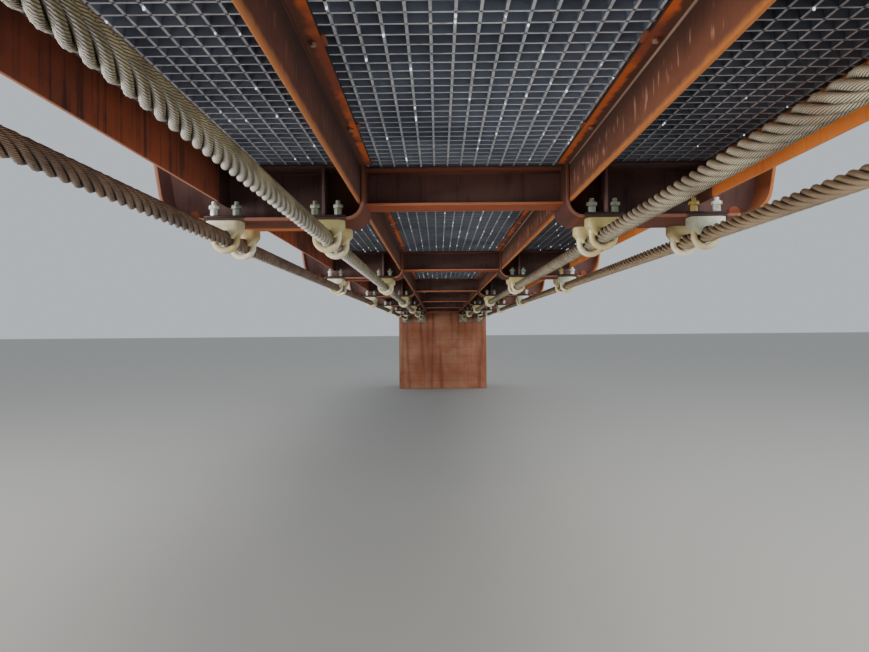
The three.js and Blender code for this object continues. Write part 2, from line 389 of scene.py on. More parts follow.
def weathering_steel(name, bright, middle, dark, darkness=0.5, streaks=1.0, marks_and_light=None):
    """Rust that runs from orange to near black, with runs of water down it and a grainy skin.

    Its last argument is a function that lays the tints of one kind of plate, and the light and shade
    painted on it, over that colour."""
    finish = Finish(name)
    broad = finish.noise(1.7, 4.0).ramp(0.32, 0.68)
    cloud = finish.noise(9.0, 5.0).ramp(0.30, 0.72)
    runs = finish.noise(1.0, 3.0, stretch=(60, 60, 1.6)).ramp(0.42, 0.72)
    drips = finish.noise(1.0, 2.0, stretch=(130, 130, 5.0)).ramp(0.60, 0.74)
    speck = finish.noise(420.0, 2.0)
    grain = finish.noise(120.0, 4.0)
    colour = finish.layered(
        bright,
        (broad * 0.65 + cloud * 0.35, middle),
        ((cloud * 0.5 + runs * streaks * 0.7).ramp(0.35, 1.0) * darkness, dark),
        (drips * streaks * 0.55, dark),
        (speck.ramp(0.58, 0.75) * 0.25, bright),
    )
    if marks_and_light is not None:
        colour = marks_and_light(finish, colour)
    relief = finish.bump(grain * 0.7 + speck * 0.3, 0.0012, 0.55)
    return finish.done(colour, 0.72 + grain * 0.22, 0.0, relief)


def pod_painted_light(finish, colour):
    """Painted light and shade over the rust: near edges lit pale as a painted highlight and darkened at the
    clamps as painted shade, a red-brown underside as painted shade with a painted orange highlight along
    the left pods' far rim, and bends painted near black inside on the left, dark beside the beam on the
    right, and lit orange-brown at the right outer bend."""
    x = finish.at("X")
    left = x.ramp(-0.1, 0.1, 1.0, 0.0)
    below = finish.facing("Z").ramp(-0.7, -0.3, 0.85, 0.0)
    rim = finish.past_frame().ramp(0.030, 0.052)
    near = finish.facing("Y").ramp(-0.9, -0.6, 0.85, 0.0)
    clamp_shade = abs(abs(abs(x) - between_ropes) - clamp_off_middle).ramp(0.052, 0.060, 0.92, 0.0)
    bend_shade = finish.facing("X").ramp(0.25, 0.7) * left * x.ramp(-0.75, -0.70, 1.0, 0.0)
    right_bend_light = finish.facing("X").ramp(-0.7, -0.25, 0.7, 0.0) * x.ramp(0.70, 0.75)
    beam_side_shade = finish.facing("X").ramp(-0.5, -0.2, 0.75, 0.0) * x.ramp(0.32, 0.34, 1.0, 0.0)
    beam_side_shade = beam_side_shade * x.ramp(0.1, 0.2)
    # Every layer here is painted light and shade: a darker underside, a highlight on the left pods' far
    # rim, shade in the left bends and beside the beam, light on the right outer bend, pale highlighted near
    # edges, and shade on them at the clamps.
    return finish.layered(
        colour,
        (below, (108, 50, 28)),
        (below * rim * left * abs(x).ramp(0.33, 0.35), (236, 132, 58)),
        (bend_shade * 0.85, (58, 26, 24)),
        (beam_side_shade, (62, 32, 26)),
        (right_bend_light, (150, 88, 44)),
        (near, (140, 92, 76)),
        (near * x.ramp(0.72, 0.78), (176, 106, 52)),
        (near * clamp_shade, (36, 27, 26)),
    )


def beam_painted_light(finish, colour):
    """Painted light: orange underneath, lit from below, and a pale near edge as a painted highlight."""
    below = finish.facing("Z").ramp(-0.7, -0.3, 0.7, 0.0)
    near = finish.facing("Y").ramp(-0.9, -0.6, 0.8, 0.0)
    # Painted light on the underside and a painted highlight on the near edge.
    return finish.layered(colour, (below, (176, 84, 40)), (near, (206, 132, 94)))


def web_rust_and_shade(finish, colour):
    """Rusty under the beam's top flange, and painted near black between the two lines of stringers, a
    painted shade where the pods shelter the web."""
    across = abs(finish.at("X"))
    # Painted shade, near black, on the web between the lines of stringers.
    painted_shadow = across.ramp(0.36, 0.42, 0.0, 0.4) * across.ramp(0.66, 0.69, 1.0, 0.0)
    below = finish.facing("Z").ramp(-0.95, -0.7, 0.7, 0.0) * across.ramp(0.284, 0.288, 1.0, 0.0)
    return finish.layered(colour, (below, (168, 84, 50)), (painted_shadow, (22, 18, 18)))


pod_tones = ((128, 76, 54), (88, 50, 38), (50, 30, 27))
beam_tones = ((160, 82, 46), (110, 56, 34), (60, 34, 28))
web_tones = ((126, 92, 86), (92, 71, 68), (52, 44, 46))
pod_rust = weathering_steel("pod_rust", *pod_tones, 0.6, 0.5, pod_painted_light)
beam_rust = weathering_steel("beam_rust", *beam_tones, 0.5, 0.5, beam_painted_light)
web_rust = weathering_steel("web_rust", *web_tones, 0.6, 0.6, web_rust_and_shade)
bolt_rust = weathering_steel("bolt_rust", (168, 96, 66), (140, 74, 52), (96, 50, 38), 0.4, 0.3)


def pod_flange():
    """The bottom flange: its bend line is drawn, carried across to a sheet, and thickened."""
    half = pod_width / 2
    piece = begin_line("pod_flange", (beam_reach, -half, 0))
    extrude((0, 0, inner_bend_z))
    sweep((inner_bend_x, -half, inner_bend_z), 90, 7)
    extrude((outer_bend_x - inner_bend_x, 0, 0))
    sweep((outer_bend_x, -half, outer_bend_z), 90 - math.degrees(post_lean), 9)
    for rise in (deck_thickness - bend_end_z, post_height - deck_thickness):
        extrude((rise * math.tan(post_lean), 0, rise))
    select_whole()
    bpy.ops.mesh.remove_doubles(threshold=1e-5)
    select_whole()
    extrude((0, pod_width, 0))
    bpy.ops.mesh.select_all(action="DESELECT")
    bpy.ops.object.mode_set(mode="OBJECT")
    narrow = (1, post_head_width / pod_width, 1)
    scale_part(piece, lambda at: at.z > post_height - 0.01, narrow, (post_head_x, 0, post_height))
    apply_modifier(piece, "SOLIDIFY", thickness=pod_plate, offset=0, use_even_offset=True)
    round_edges(piece, 0.002)
    return piece


def pod_web():
    """The web stands in the middle of the flange and narrows upwards into the post."""
    outline = [(beam_reach, -sunk)]
    outline += arc(inner_bend_x, inner_bend_z, inner_bend, 180, 270, 6)
    outline += arc(outer_bend_x, outer_bend_z, outer_bend, 270, 360 - math.degrees(post_lean), 8)
    flange_head_x = bend_end_x + (post_height - bend_end_z) * math.tan(post_lean)
    outline += [(flange_head_x, post_height), (post_head_x, post_height)]
    outline += [(post_foot_x, deck_thickness), (post_foot_x, -sunk)]
    return flat_plate("pod_web", outline, plate)


def weld(start, end, radius):
    """A fillet weld along a straight corner, as a thin rounded bead."""
    line = Vector(end) - Vector(start)
    middle = (Vector(start) + Vector(end)) / 2
    bead = cylinder("weld", 8, radius, line.length, middle, line.to_track_quat("Z", "Y").to_euler())
    bpy.ops.object.shade_smooth()
    return bead


def web_bolt():
    """A rusty bolt through the web, low in the outer bend, with a round head on each side."""
    bolt = cylinder(
        "web_bolt", 20, bolt_radius, bolt_length, (bolt_x, 0, pod_foot + bolt_rise), (math.pi / 2, 0, 0),
    )
    round_edges(bolt, 0.004, 3)
    return bolt


def half_frame():
    """The right pod and its post."""
    pieces = [painted(pod_flange(), pod_rust), painted(pod_web(), web_rust), painted(web_bolt(), bolt_rust)]
    top_low = (pod_top_low_x, -pod_top_width / 2, -plate)
    top_high = (pod_top_high_x, pod_top_width / 2, -hair)
    plates = [block("pod_top", top_low, top_high)]
    low, high = stiffener_x - plate / 2, stiffener_x + plate / 2
    for side in (-1, 1):
        y = side * plate / 2
        near, far = sorted((y, side * (pod_width / 2 - stiffener_inset)))
        plates += [
            block("stiffener", (low, near, pod_foot), (high, far, -plate + sunk)),
            weld((inner_bend_x, y, pod_foot), (outer_bend_x, y, pod_foot), flange_bead),
            weld((low, y, pod_foot), (low, y, -plate), stiffener_bead),
            weld((pod_top_low_x, y, -plate), (pod_top_high_x, y, -plate), pod_top_bead),
        ]
    return pieces + [painted(piece, web_rust) for piece in plates]


right_half = half_frame()
mirror = Matrix.Scale(-1, 4, (1, 0, 0))
left_half = [copied(piece, piece.name, mirror) for piece in right_half]
beam_foot = plate - beam_depth
beam_half = beam_width / 2
bottom = block("beam_bottom", (-beam_reach, -beam_half, -beam_depth), (beam_reach, beam_half, beam_foot))
webs = [
    block("beam_top", (-beam_reach, -beam_half, -plate), (beam_reach, beam_half, -hair)),
    block("beam_web", (-beam_reach, -plate / 2, beam_foot), (beam_reach, plate / 2, -plate)),
]
for y in (-plate / 2, plate / 2):
    for z in (beam_foot, -plate):
        webs.append(weld((-beam_reach, y, z), (beam_reach, y, z), flange_bead))
beam = [painted(bottom, beam_rust)] + [painted(piece, web_rust) for piece in webs]
steelwork = joined("steelwork", right_half + left_half + beam)
for i, spot in enumerate(frame_places):
    piece = copied(steelwork, f"frame_steelwork_{i}", Matrix.Translation(spot))
    settled(piece, "weathering_steel", f"cross_frame_{i}")
discard(steelwork)


# Saddle clamps
# At every frame each rope lies in two zinc-plated castings under the flange, one each side of the web.
# A casting has a broad lip that tapers down to two tips beside the rope, and the legs of a U-bar pass
# up through it. The bar goes round under the rope and stays just clear of it.
rope_radius, rope_drop = 0.021, 0.205
clamp_half_pitch = 0.082
saddle_half, saddle_lip, saddle_length, saddle_corner = 0.050, 0.025, 0.056, 0.019
saddle_shoulder, tip_outside, tip_inside = 0.043, 0.0245, 0.0225
leg_offset, bar_radius = 0.0315, 0.0088


def rounded_post(half_x, half_y, corner, low, high):
    """An upright block whose four upright edges are rounded."""
    clear_selection()
    bpy.ops.mesh.primitive_plane_add(size=2, location=(0, 0, low))
    bpy.context.object.scale = (half_x, half_y, 1)
    piece = placed("post")
    edit_whole()
    bpy.ops.mesh.bevel(offset=corner, segments=6, affect="VERTICES")
    select_whole()
    extrude((0, 0, high - low))
    close_mesh()
    return piece


def saddle():
    """Drawn about the rope's line, with its top at the flange's underside."""
    groove = arc(0, -rope_drop, rope_radius + 0.0008, 180, 0, 12)
    lip_foot = -pod_depth - saddle_lip
    side = [(saddle_half, -pod_depth - hair), (saddle_half, lip_foot + 0.006)]
    side += [(saddle_half - 0.003, lip_foot + 0.001), (saddle_shoulder, lip_foot - 0.001)]
    side += [(tip_outside, -rope_drop + 0.001), (tip_inside, -rope_drop)]
    outline = [(-x, z) for x, z in side] + groove + side[::-1]
    casting = flat_plate("casting", outline, saddle_length, edge=0)
    plan = rounded_post(saddle_half, saddle_length / 2, saddle_corner, -0.3, 0)
    apply_modifier(casting, "BOOLEAN", operation="INTERSECT", object=plan, solver="EXACT")
    discard(plan)
    round_edges(casting, 0.0020)
    return casting


def u_bar():
    """A round bar that comes down one side of the rope, turns under it and goes up the other."""
    clear_selection()
    bpy.ops.mesh.primitive_circle_add(
        vertices=14, radius=bar_radius, fill_type="NGON", location=(-leg_offset, 0, pod_foot),
    )
    bar = placed("u_bar")
    edit_whole()
    extrude((0, 0, -rope_drop - pod_foot))
    sweep((0, 0, -rope_drop), 180, 14)
    extrude((0, 0, rope_drop + pod_foot))
    close_mesh()
    bpy.ops.object.shade_smooth_by_angle(angle=math.radians(40))
    return bar


def zinc_casting(name, light, dull, stain):
    """Zinc yellowed in patches, with dirt and a fine cast skin."""
    finish = Finish(name)
    cloud = finish.noise(16.0, 4.0).ramp(0.34, 0.66)
    patch = finish.noise(7.0, 3.0).ramp(0.50, 0.66)
    skin = finish.noise(300.0, 3.0)
    dirt = (skin.ramp(0.60, 0.78) * 0.45, (104, 88, 58))
    colour = finish.layered(light, (cloud, dull), (patch * 0.7, stain), dirt)
    return finish.done(colour, 0.46 + cloud * 0.2, 0.0, finish.bump(skin, 0.0008, 0.35))


# The castings differ in tone by place, partly their own zinc and partly painted light: pale and warm on the
# left outer rope, grey on the right outer one, olive on the inner ones, ochre beyond the web.
castings = {
    "pale": zinc_casting("pale_casting", (242, 240, 222), (228, 222, 192), (194, 180, 132)),
    "grey": zinc_casting("grey_casting", (214, 224, 208), (194, 204, 184), (150, 150, 120)),
    "olive": zinc_casting("olive_casting", (188, 180, 124), (170, 160, 104), (150, 130, 80)),
    "ochre": zinc_casting("ochre_casting", (208, 192, 142), (184, 164, 112), (156, 130, 84)),
}
bar_zinc = zinc_casting("bar_zinc", (232, 224, 196), (212, 198, 154), (186, 164, 108))
casting_model, bar_model = saddle(), painted(u_bar(), bar_zinc)
clamp_spots = [
    (side * x, end * clamp_half_pitch) for side in (-1, 1) for x in rope_places for end in (-1, 1)
]
for i, spot in enumerate(frame_places):
    copies = []
    for x, y in clamp_spots:
        at = Matrix.Translation(spot + Vector((x, y, 0)))
        outer_tone = "pale" if x < 0 else "grey"
        tone = "ochre" if y > 0 else outer_tone if abs(x) > between_ropes else "olive"
        copies.append(painted(copied(casting_model, "casting_copy", at), castings[tone]))
        copies.append(copied(bar_model, "bar_copy", at))
    settled(joined(f"saddle_clamps_{i}", copies), "zinc_casting")
discard(casting_model, bar_model)


# Studs and nuts
# The legs of the U-bars come up through the flange and through a dark pad that both share. Each leg
# carries two galvanised nuts, the upper one broader and thinner, and its end stands out above them.
pad_half_x, pad_half_y, pad_thickness = 0.054, 0.0165, 0.0055
nut_radius, nut_height = 0.0112, 0.0185
top_nut_radius, top_nut_height, nut_gap = 0.0150, 0.0098, 0.0012
stud_radius, stud_end, top_nut_turn, stud_twist = 0.0066, 0.0115, math.radians(17), 0.3


def turned(name, sides, radius, low, high, edge):
    """A round or many-sided piece that stands upright on the axis."""
    piece = cylinder(name, sides, radius, high - low, (0, 0, (low + high) / 2))
    round_edges(piece, edge)
    return piece


def galvanised(name, light, dull, stain, metallic=0.55):
    """Zinc with a fine spangle, dulled in patches and stained."""
    finish = Finish(name)
    spangle = finish.node("ShaderNodeTexVoronoi", {}, {"Vector": finish.place(), "Scale": 90.0})
    cloud = finish.noise(14.0, 3.0).ramp(0.35, 0.65)
    dirt = finish.noise(60.0, 4.0).ramp(0.50, 0.72)
    colour = finish.layered(light, (cloud, dull), (dirt * 0.7, stain))
    return finish.done(colour, 0.45 + cloud * 0.2, metallic, finish.bump(spangle, 0.0005, 0.2))


def stud():
    """The end of one leg with its two nuts, on top of the pad."""
    low = pad_thickness
    middle = low + nut_height
    top = middle + nut_gap + top_nut_height
    pieces = [
        turned("nut", 6, nut_radius, low, middle, 0.0008),
        turned("top_nut", 6, top_nut_radius, middle + nut_gap, top, 0.0008),
        turned("thread", 12, stud_radius, sunk, top + stud_end, 0.0015),
    ]
    pieces[1].data.transform(Matrix.Rotation(top_nut_turn, 4, "Z"))
    return joined("stud", pieces)


stud_model = stud()
stud_zinc = {
    "dull": galvanised("dull_nuts", (140, 148, 134), (104, 112, 98), (96, 90, 58), 0.1),
    "bright": galvanised("bright_nuts", (226, 228, 224), (190, 194, 188), (140, 130, 96), 0.15),
    "yellow": galvanised("yellow_nuts", (168, 146, 78), (136, 112, 56), (96, 76, 42), 0.15),
}
# The pad's near-black colour is painted shade: its near face, seen past the flange's edge, lies in shadow.
pad = block("pad", (-pad_half_x, -pad_half_y, 0), (pad_half_x, pad_half_y, pad_thickness), 0.001)
painted(pad, galvanised("dark_pads", (40, 32, 31), (27, 23, 23), (54, 32, 26), 0.1))
random.seed(5)
for i, spot in enumerate(frame_places):
    copies = []
    for x, y in clamp_spots:
        copies.append(copied(pad, "pad_copy", Matrix.Translation(spot + Vector((x, y, pod_foot)))))
        for leg in (-leg_offset, leg_offset):
            turn = Matrix.Rotation(random.uniform(-stud_twist, stud_twist), 4, "Z")
            at = spot + Vector((x + leg, y, pod_foot))
            inner_tone = "yellow" if x > between_ropes else "dull"
            tone = "bright" if abs(x + leg) > max(rope_places) else inner_tone
            twin = copied(stud_model, "stud_copy", Matrix.Translation(at) @ turn)
            copies.append(painted(twin, stud_zinc[tone]))
    settled(joined(f"clamp_studs_{i}", copies), "galvanised_steel")
discard(stud_model, pad)


# Stringers
# Long plates with a ledge along the top that the grating lies on. The inner ones run beside the beam
# and the outer ones close the deck's edges. They are copies of the imported plates, with their edges
# broken, a weld bead under each ledge, and steel that is darker on the left than on the right, partly
# its own colour and partly painted shade and light, as the light is stronger from the left.
stringer_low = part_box("inner_stringer_right_1")[0]
ledge_edge, stringer_depth = stringer_low.x, underside - stringer_low.z
ledge_bead = 0.003


def inner_marks_and_light(foot, painted_shade, fleck):
    """A pale foot whose downward face is a painted highlight, a web with painted shade above, under the
    ledge, and flecks below, and a ragged rusty rim to the ledge.
    """
    def lay(finish, colour):
        below = finish.facing("Z").ramp(-0.95, -0.6, 0.9, 0.0)
        across = abs(finish.at("X"))
        height = finish.at("Z") - (underside - stringer_depth)
        ragged = finish.noise(38.0, 4.0) * 0.024
        rust = finish.mix(finish.noise(5.0, 3.0).ramp(0.45, 0.58), (232, 112, 44), (156, 76, 50))
        rim = (across + ragged).ramp(ledge_edge + 0.022, ledge_edge + 0.032, 1.0, 0.0)
        on_web = across.ramp(ledge_edge + 0.029, ledge_edge + 0.031)
        flecks = finish.noise(1.0, 2.0, stretch=(60, 60, 18)).ramp(0.56, 0.66)
        flecks = flecks * height.ramp(0.018, 0.035) * height.ramp(0.055, 0.080, 1.0, 0.0)
        return finish.layered(
            colour,
            # Painted shade on the upper web under the ledge.
            (height.ramp(0.030, 0.085) * 0.72, painted_shade),
            (flecks * fleck, (214, 158, 132)),
            ((height + ragged * 0.5).ramp(0.006, 0.020, 0.6, 0.0), foot),
            (below, (104, 60, 44)),
            (below * rim, rust),
            # A painted highlight on the web's downward face.
            (below * on_web * height.ramp(0.01, 0.02, 1.0, 0.0), foot),
        )
    return lay


def outer_painted_light(foot):
    """A pale foot to the web, a painted highlight from the light below, and near black where the pods
    shelter it, a painted shadow.
    """
    def lay(finish, colour):
        below = finish.facing("Z").ramp(-0.95, -0.6, 0.9, 0.0)
        # Painted shadow where the pods shelter the stringer, over a painted highlight on downward faces.
        painted_shadow = abs(finish.past_frame()).ramp(0.100, 0.103, 0.85, 0.0)
        return finish.layered(colour, (below, foot), (painted_shadow, (30, 22, 22)))
    return lay


left_marks_and_light = inner_marks_and_light((206, 130, 74), (56, 37, 32), 0.1)
right_marks_and_light = inner_marks_and_light((226, 138, 62), (66, 44, 37), 0.6)
# The left tones are darker than the right, partly the steel's own colour and partly painted shade and
# light.
left_tones = ((108, 60, 43), (72, 41, 33), (40, 27, 25))
right_tones = ((136, 82, 58), (92, 55, 41), (54, 36, 31))
outer_left_tones = ((160, 76, 38), (106, 50, 32), (34, 22, 22))
outer_right_tones = ((216, 122, 44), (186, 98, 36), (120, 62, 32))
stringer_steels = {
    "inner_left": weathering_steel("inner_left_rust", *left_tones, 0.7, 0.5, left_marks_and_light),
    "inner_right": weathering_steel("inner_right_rust", *right_tones, 0.6, 0.35, right_marks_and_light),
    "outer_left": weathering_steel(
        "outer_left_rust", *outer_left_tones, 0.8, 1.0, outer_painted_light((196, 138, 104)),
    ),
    "outer_right": weathering_steel(
        "outer_right_rust", *outer_right_tones, 0.45, 0.6, outer_painted_light((212, 134, 70)),
    ),
}
# The right inner bead's pale steel is partly a real weld bead and partly a painted highlight along the
# corner under the ledge; the clip nuts share it.
bead_highlight_tones = ((196, 168, 150), (164, 132, 112), (96, 66, 54))
bead_steels = dict(stringer_steels)
bead_steels["inner_right"] = weathering_steel("bead_highlight_rust", *bead_highlight_tones, 0.7, 0.2)


def cleaned_copy(node, name):
    """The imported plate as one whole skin, without the loose triangles it is stored as."""
    piece = bpy.data.objects.new(name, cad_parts[node].data.copy())
    bpy.context.scene.collection.objects.link(piece)
    pick(piece)
    edit_whole()
    bpy.ops.mesh.remove_doubles(threshold=1e-5)
    bpy.ops.mesh.dissolve_limited(angle_limit=math.radians(1))
    close_mesh()
    return piece


for line in ("inner", "outer"):
    for side_name, side in (("left", -1), ("right", 1)):
        for i in range(1, bay_count + 1):
            node = f"{line}_stringer_{side_name}_{i}"
            low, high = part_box(node)
            body = cleaned_copy(node, node + "_plate")
            round_edges(body, 0.0015)
            web_side = side if line == "inner" else -side
            web_x = (high.x if web_side > 0 else low.x) - web_side * plate
            clear = pod_width / 2
            bead_z = high.z - plate
            bead = weld((web_x, low.y + clear, bead_z), (web_x, high.y - clear, bead_z), ledge_bead)
            painted(body, stringer_steels[f"{line}_{side_name}"])
            painted(bead, bead_steels[f"{line}_{side_name}"])
            settled(joined(node + "_dressed", [body, bead]), "dark_weathering_steel", node)


# Grating clips
# Small rusty clips hold the grating down on the inner ledges: a tab whose rounded end shows past the
# ledge's tip, and the end of its bolt hanging under the ledge.
clip_places = (-0.567, -0.117, 0.117, 0.567)
clip_bolt_in = 0.015


def clip():
    """Drawn about the tip of the right ledge, with the web towards +X."""
    tab = block("tab", (-0.0065, -0.020, -0.007), (0.006, 0.020, -0.001), 0.0035, 3)
    washer = turned("washer", 14, 0.0075, -0.0100, -0.0080, 0.0006)
    nut = turned("clip_nut", 6, 0.0052, -0.0150, -0.0100, 0.0008)
    for piece in (washer, nut):
        move(piece, clip_bolt_in, 0, 0)
    return [painted(tab, bolt_rust), painted(washer, bolt_rust), painted(nut, bead_steels["inner_right"])]


clip_model = joined("clip", clip())
copies = []
for i in range(bay_count):
    for side in (-1, 1):
        for along in clip_places:
            at = Vector((side * ledge_edge, start_y + bay * (i + 0.5) + along, underside))
            turn = Matrix.Rotation(0 if side > 0 else math.pi, 4, "Z")
            copies.append(copied(clip_model, "clip_copy", Matrix.Translation(at) @ turn))
settled(joined("grating_clips", copies), "galvanised_steel")
discard(clip_model)


# Deck panels
# Grey moulded grating with a square mesh of tapering bars, closed on top by a gritted cover sheet, so
# from below each cell has greyer walls, a light foot round it and a dark blue-grey lid; the light feet and
# greyer walls are partly painted light and shade. The mesh was cut to width, so its outermost cells are
# narrower than the rest.
cover_thickness = 0.004
mesh_pitch, first_bar_x = 0.03709, -0.0835
bar_foot, bar_head = 0.0024, 0.0036


def grating_bar(name, length, along_y):
    """A bar that is narrower at its foot, about the middle of its length and with its foot at zero."""
    height = deck_thickness - cover_thickness - hair
    half_x, half_y = (bar_head, length / 2) if along_y else (length / 2, bar_head)
    piece = block(name, (-half_x, -half_y, 0), (half_x, half_y, height), edge=0)
    narrow = bar_foot / bar_head
    scale = (narrow, 1, 1) if along_y else (1, narrow, 1)
    scale_part(piece, lambda at: at.z < height / 2, scale, (0, 0, 0))
    return piece


def repeat(piece, count, step):
    apply_modifier(
        piece, "ARRAY", count=count, use_relative_offset=False, use_constant_offset=True,
        constant_offset_displace=step,
    )


def deck_painted_shade(finish, colour, far, right):
    """Painted shade past the first bay and on the right of the deck, each a share and a tint."""
    past_first = finish.at("Y").ramp(start_y + bay - 0.1, start_y + bay)
    on_right = finish.at("X").ramp(0.27, 0.30)
    return finish.layered(colour, (past_first * far[0], far[1]), (on_right * right[0], right[1]))


def grating_finish():
    """Light on the feet of the bars, partly where the skin is worn and partly a painted highlight from
    below, greyer on their walls, partly painted shade, and painted shade on the right of the deck and past
    the first bay."""
    finish = Finish("moulded_grating")
    cloud = finish.noise(5.0, 4.0).ramp(0.35, 0.68)
    grime = finish.noise(34.0, 4.0).ramp(0.42, 0.70)
    skin = finish.noise(220.0, 3.0)
    foot = finish.mix(cloud, (238, 242, 250), (200, 206, 218))
    foot = finish.mix(grime * 0.5, foot, (134, 136, 144))
    wall = finish.mix(cloud, (158, 172, 192), (118, 130, 148))
    # By the way each face points: feet lighter and walls darker, partly wear and partly painted light and
    # shade.
    colour = finish.mix(finish.facing("Z").ramp(-0.9, -0.4), foot, wall)
    colour = deck_painted_shade(finish, colour, (0.3, (62, 64, 72)), (0.55, (70, 76, 84)))
    return finish.done(colour, 0.34 + cloud * 0.2, 0.0, finish.bump(skin, 0.0006, 0.3))


def cover_finish():
    """Dark underneath between the bars, and a worn gritted grey on the walking side."""
    finish = Finish("deck_cover")
    cloud = finish.noise(6.0, 4.0).ramp(0.32, 0.68)
    grit = finish.noise(700.0, 2.0)
    below = finish.mix(cloud, (72, 86, 110), (104, 116, 138))
    # Painted shade past the first bay and on the right of the deck.
    below = deck_painted_shade(finish, below, (0.5, (34, 38, 46)), (0.4, (44, 54, 64)))
    above = finish.mix(cloud, (96, 98, 98), (74, 74, 72))
    above = finish.mix(grit.ramp(0.5, 0.7) * 0.6, above, (128, 126, 120))
    colour = finish.mix(finish.facing("Z").ramp(0.0, 0.2), below, above)
    return finish.done(colour, 0.45 + cloud * 0.25, 0.0, finish.bump(grit, 0.0012, 0.5))


grating_grey, cover_grey = grating_finish(), cover_finish()
deck_low_x, deck_high_x = (corner.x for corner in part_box("deck_panel_1"))
bars_left = math.floor((first_bar_x - deck_low_x - 2 * bar_head) / mesh_pitch)
bars_right = math.floor((deck_high_x - 2 * bar_head - first_bar_x) / mesh_pitch)
leftmost_bar_x = first_bar_x - bars_left * mesh_pitch
for i in range(1, bay_count + 1):
    node = f"deck_panel_{i}"
    low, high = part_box(node)
    length = high.y - low.y
    cells_along = round((length - 2 * bar_head) / mesh_pitch)
    pitch_along = (length - 2 * bar_head) / cells_along
    middle = (low + high) / 2
    edge_bars = [grating_bar("edge_bar", length, True) for _ in range(2)]
    move(edge_bars[0], low.x + bar_head, middle.y, low.z)
    move(edge_bars[1], high.x - bar_head, middle.y, low.z)
    long_bars = grating_bar("long_bars", length, True)
    move(long_bars, leftmost_bar_x, middle.y, low.z)
    repeat(long_bars, bars_left + bars_right + 1, (mesh_pitch, 0, 0))
    cross_bars = grating_bar("cross_bars", high.x - low.x, False)
    move(cross_bars, middle.x, low.y + bar_head, low.z)
    repeat(cross_bars, cells_along + 1, (0, pitch_along, 0))
    grating = joined(f"grating_{i}", [long_bars, cross_bars] + edge_bars)
    settled(painted(grating, grating_grey), "grating", node)
    cover = block(f"deck_cover_{i}", (low.x, low.y, high.z - cover_thickness), high, 0.001)
    settled(painted(cover, cover_grey), "grating")


# Water drops
# Beads of water hang from the feet of the bars and from the lids of the cells. They glow a little
# by emission, a painted glint standing in for the sky light that real drops reflect.
random.seed(11)
drop_count, drop_smallest, drop_largest = 1200, 0.0012, 0.0025
drop_stretch, drop_sink = 1.5, 0.6
share_on_bars, crowd_near = 0.7, 1.5
deck_margin = 0.01

glowing_water = Finish("glowing_water_drops")
# The emission is a painted glint: the drops glow though they are no lamps.
glowing_water.feed(glowing_water.surface.inputs["Emission Color"], (235, 240, 250))
glowing_water.feed(glowing_water.surface.inputs["Emission Strength"], 1.3)
clear_selection()
bpy.ops.mesh.primitive_ico_sphere_add(subdivisions=1, radius=1, location=(0, 0, 0))
bead_model = bpy.context.object
bpy.ops.object.shade_smooth()
copies = []
for _ in range(drop_count):
    size = random.uniform(drop_smallest, drop_largest)
    along = random.random() ** crowd_near * bay * bay_count
    across = random.uniform(deck_low_x + deck_margin, deck_high_x - deck_margin)
    height = underside + deck_thickness - cover_thickness - size
    if random.random() < share_on_bars:
        across = first_bar_x + mesh_pitch * round((across - first_bar_x) / mesh_pitch)
        height = underside - size * drop_sink
    at = Matrix.Translation((across, start_y + along, height))
    shape = Matrix.Diagonal((size, size, size * drop_stretch, 1))
    copies.append(copied(bead_model, "drop", at @ shape))
glowing_water_look = glowing_water.done((252, 253, 255), 0.1, 0.6)
settled(painted(joined("glowing_water_drops", copies), glowing_water_look), "grating")
discard(bead_model)


# Wire ropes
# Six strands of galvanised wire laid round each other, one turn in about five and a half diameters.
# The six strand sections are drawn as circles and screwed along the rope. The wires are laid the
# other way in each strand, so that they run along the rope, as a relief on the strand's UV map.
lay_length = 0.232
strand_count, strand_sides = 6, 10
steps_per_lay = 14
wires_round = 13
wire_turns = -3.8
strand_radius = rope_radius / 3
rope_z = underside - rope_drop
plate_thick, fittings_reach = 0.020, 0.245
socket_mouth = plate_thick + fittings_reach
rope_low, rope_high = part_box("inner_rope_left")
rope_start, rope_end = rope_low.y + socket_mouth, rope_high.y - socket_mouth


def rope_finish(name, light, dull, stain, painted_light_share):
    """Grey-beige wire with olive and rust stains, rusty above, painted shade in the grooves between wires
    and strands, and a painted highlight where it faces down and to the left, towards the stronger light."""
    finish = Finish(name)
    around, along = finish.at("X", "UV"), finish.at("Y", "UV")
    phase = (around + along * wire_turns) * wires_round
    ridge = abs((phase * math.pi).sine())
    cloud = finish.noise(7.0, 4.0).ramp(0.34, 0.68)
    fine = finish.noise(60.0, 4.0, stretch=(1, 0.35, 1)).ramp(0.38, 0.68)
    patches = finish.noise(13.0, 3.0).ramp(0.55, 0.72)
    lit_side = (finish.facing("X") * -0.65 + finish.facing("Z") * -0.76).ramp(0.10, 0.80)
    crease_shade = abs(around - 0.5).ramp(0.17, 0.33, 0.95, 0.0)
    colour = finish.layered(
        light,
        (cloud * 0.6 + fine * 0.4, dull),
        (patches * 0.65, stain),
        (finish.facing("Z").ramp(-0.1, 0.7, 0.0, 0.5), (124, 84, 60)),
        # A painted highlight where the rope faces down and to the left, then painted shade in the wire
        # grooves and the creases between strands.
        (lit_side * painted_light_share, (240, 234, 222)),
        (ridge.ramp(0.10, 0.90, 0.96, 0.0), (36, 30, 22)),
        (crease_shade, (34, 28, 22)),
    )
    return finish.done(colour, 0.50 + fine * 0.2, 0.1, finish.bump(ridge, 0.0010, 0.8))


